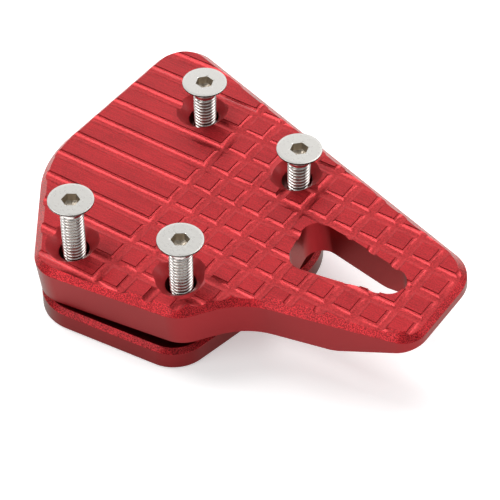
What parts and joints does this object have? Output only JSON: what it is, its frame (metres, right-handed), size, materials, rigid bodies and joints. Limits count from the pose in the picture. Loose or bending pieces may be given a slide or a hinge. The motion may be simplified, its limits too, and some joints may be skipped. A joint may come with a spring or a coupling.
{
  "type": "motorcycle side stand foot extension",
  "caption": "Wide grooved metal foot that clamps round a motorcycle side stand's own foot with a lower clamp plate and countersunk screws, so the stand doesn't sink.",
  "frame": {"origin": "on the clamp plate's outer face, under the middle of the screws", "axes": "+Z from the clamp plate to the tread plate along the screws, +X along the tread towards its narrow toe, +Y towards the tread's left edge seen from above with the toe ahead"},
  "size_m": [0.1155, 0.0847, 0.0323],
  "materials": {
    "red_anodised_aluminium": "bead-blasted and anodised red, sole face brushed",
    "stainless_steel": "bright machined"
  },
  "bodies": {
    "clamp_plate": {"clamp_plate": "red_anodised_aluminium"},
    "tread_plate": {"tread_plate": "red_anodised_aluminium"},
    "heel_left_screw": {"heel_left_screw": "stainless_steel"},
    "heel_right_screw": {"heel_right_screw": "stainless_steel"},
    "toe_left_screw": {"toe_left_screw": "stainless_steel"},
    "toe_right_screw": {"toe_right_screw": "stainless_steel"}
  },
  "joints": [
    {"name": "tread_rock", "type": "hinge", "parent": "clamp_plate", "child": "tread_plate", "pos_m": [-0.0205, -0.0366, 0.0139], "axis": [0.841, -0.541, 0], "range_deg": [-6.5, 0]},
    {"name": "heel_left_screw_travel", "type": "slide", "parent": "clamp_plate", "child": "heel_left_screw", "axis": [0, 0, 1], "range_m": [-0.0158, 0]},
    {"name": "heel_right_screw_travel", "type": "slide", "parent": "clamp_plate", "child": "heel_right_screw", "axis": [0, 0, 1], "range_m": [-0.0158, 0]},
    {"name": "toe_left_screw_travel", "type": "slide", "parent": "clamp_plate", "child": "toe_left_screw", "axis": [0, 0, 1], "range_m": [-0.0158, 0]},
    {"name": "toe_right_screw_travel", "type": "slide", "parent": "clamp_plate", "child": "toe_right_screw", "axis": [0, 0, 1], "range_m": [-0.0158, 0]}
  ],
  "couplings": [
    {"joint": "heel_left_screw_travel", "follows": "tread_rock", "m_per_rad": 0.1392},
    {"joint": "heel_right_screw_travel", "follows": "tread_rock", "m_per_rad": 0.1392},
    {"joint": "toe_left_screw_travel", "follows": "tread_rock", "m_per_rad": 0.1392},
    {"joint": "toe_right_screw_travel", "follows": "tread_rock", "m_per_rad": 0.1392}
  ]
}
